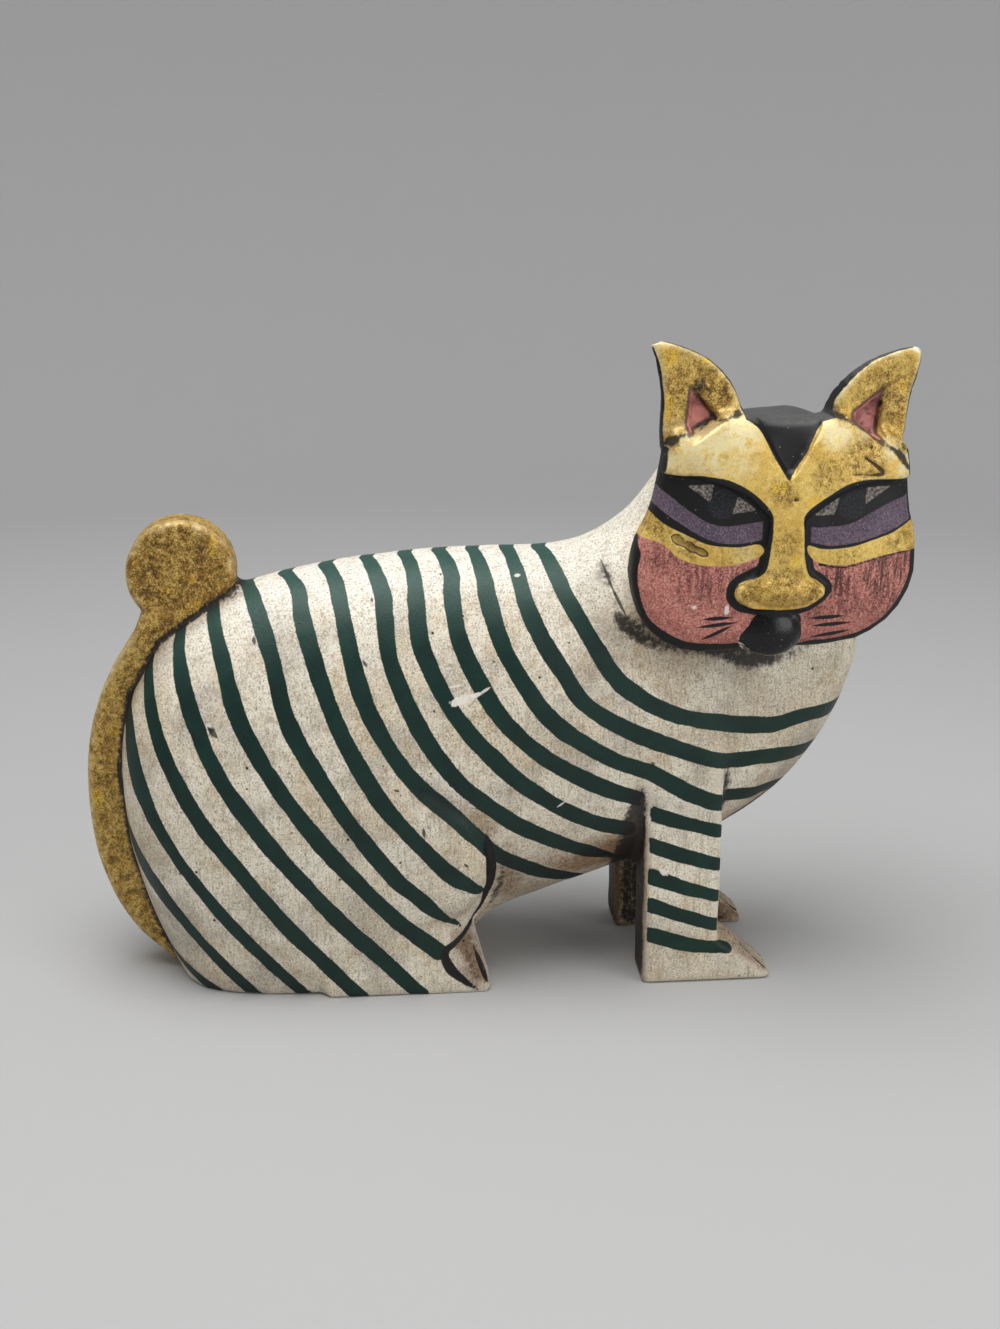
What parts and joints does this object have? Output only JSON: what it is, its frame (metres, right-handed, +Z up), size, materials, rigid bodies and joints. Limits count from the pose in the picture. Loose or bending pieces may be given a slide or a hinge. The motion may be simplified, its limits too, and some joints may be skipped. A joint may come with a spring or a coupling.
{
  "type": "carved wooden cat figurine",
  "caption": "Crouching cat ornament carved from one block of wood, painted with dark green stripes, a gilt tail and a gilt-and-rose face turned to its right.",
  "frame": {"origin": "on the floor, under the middle of the figure's bounding box", "axes": "+X the way the body points, from tail to chest; +Y the cat's left; +Z up; the face looks along -Y"},
  "size_m": [0.2632, 0.0922, 0.2143],
  "materials": {
    "painted_wood": "hand-painted antique cream with dark green stripes, gold leaf, rose, violet and black, worn satin"
  },
  "bodies": {
    "root": {"cat": "painted_wood"}
  },
  "joints": []
}
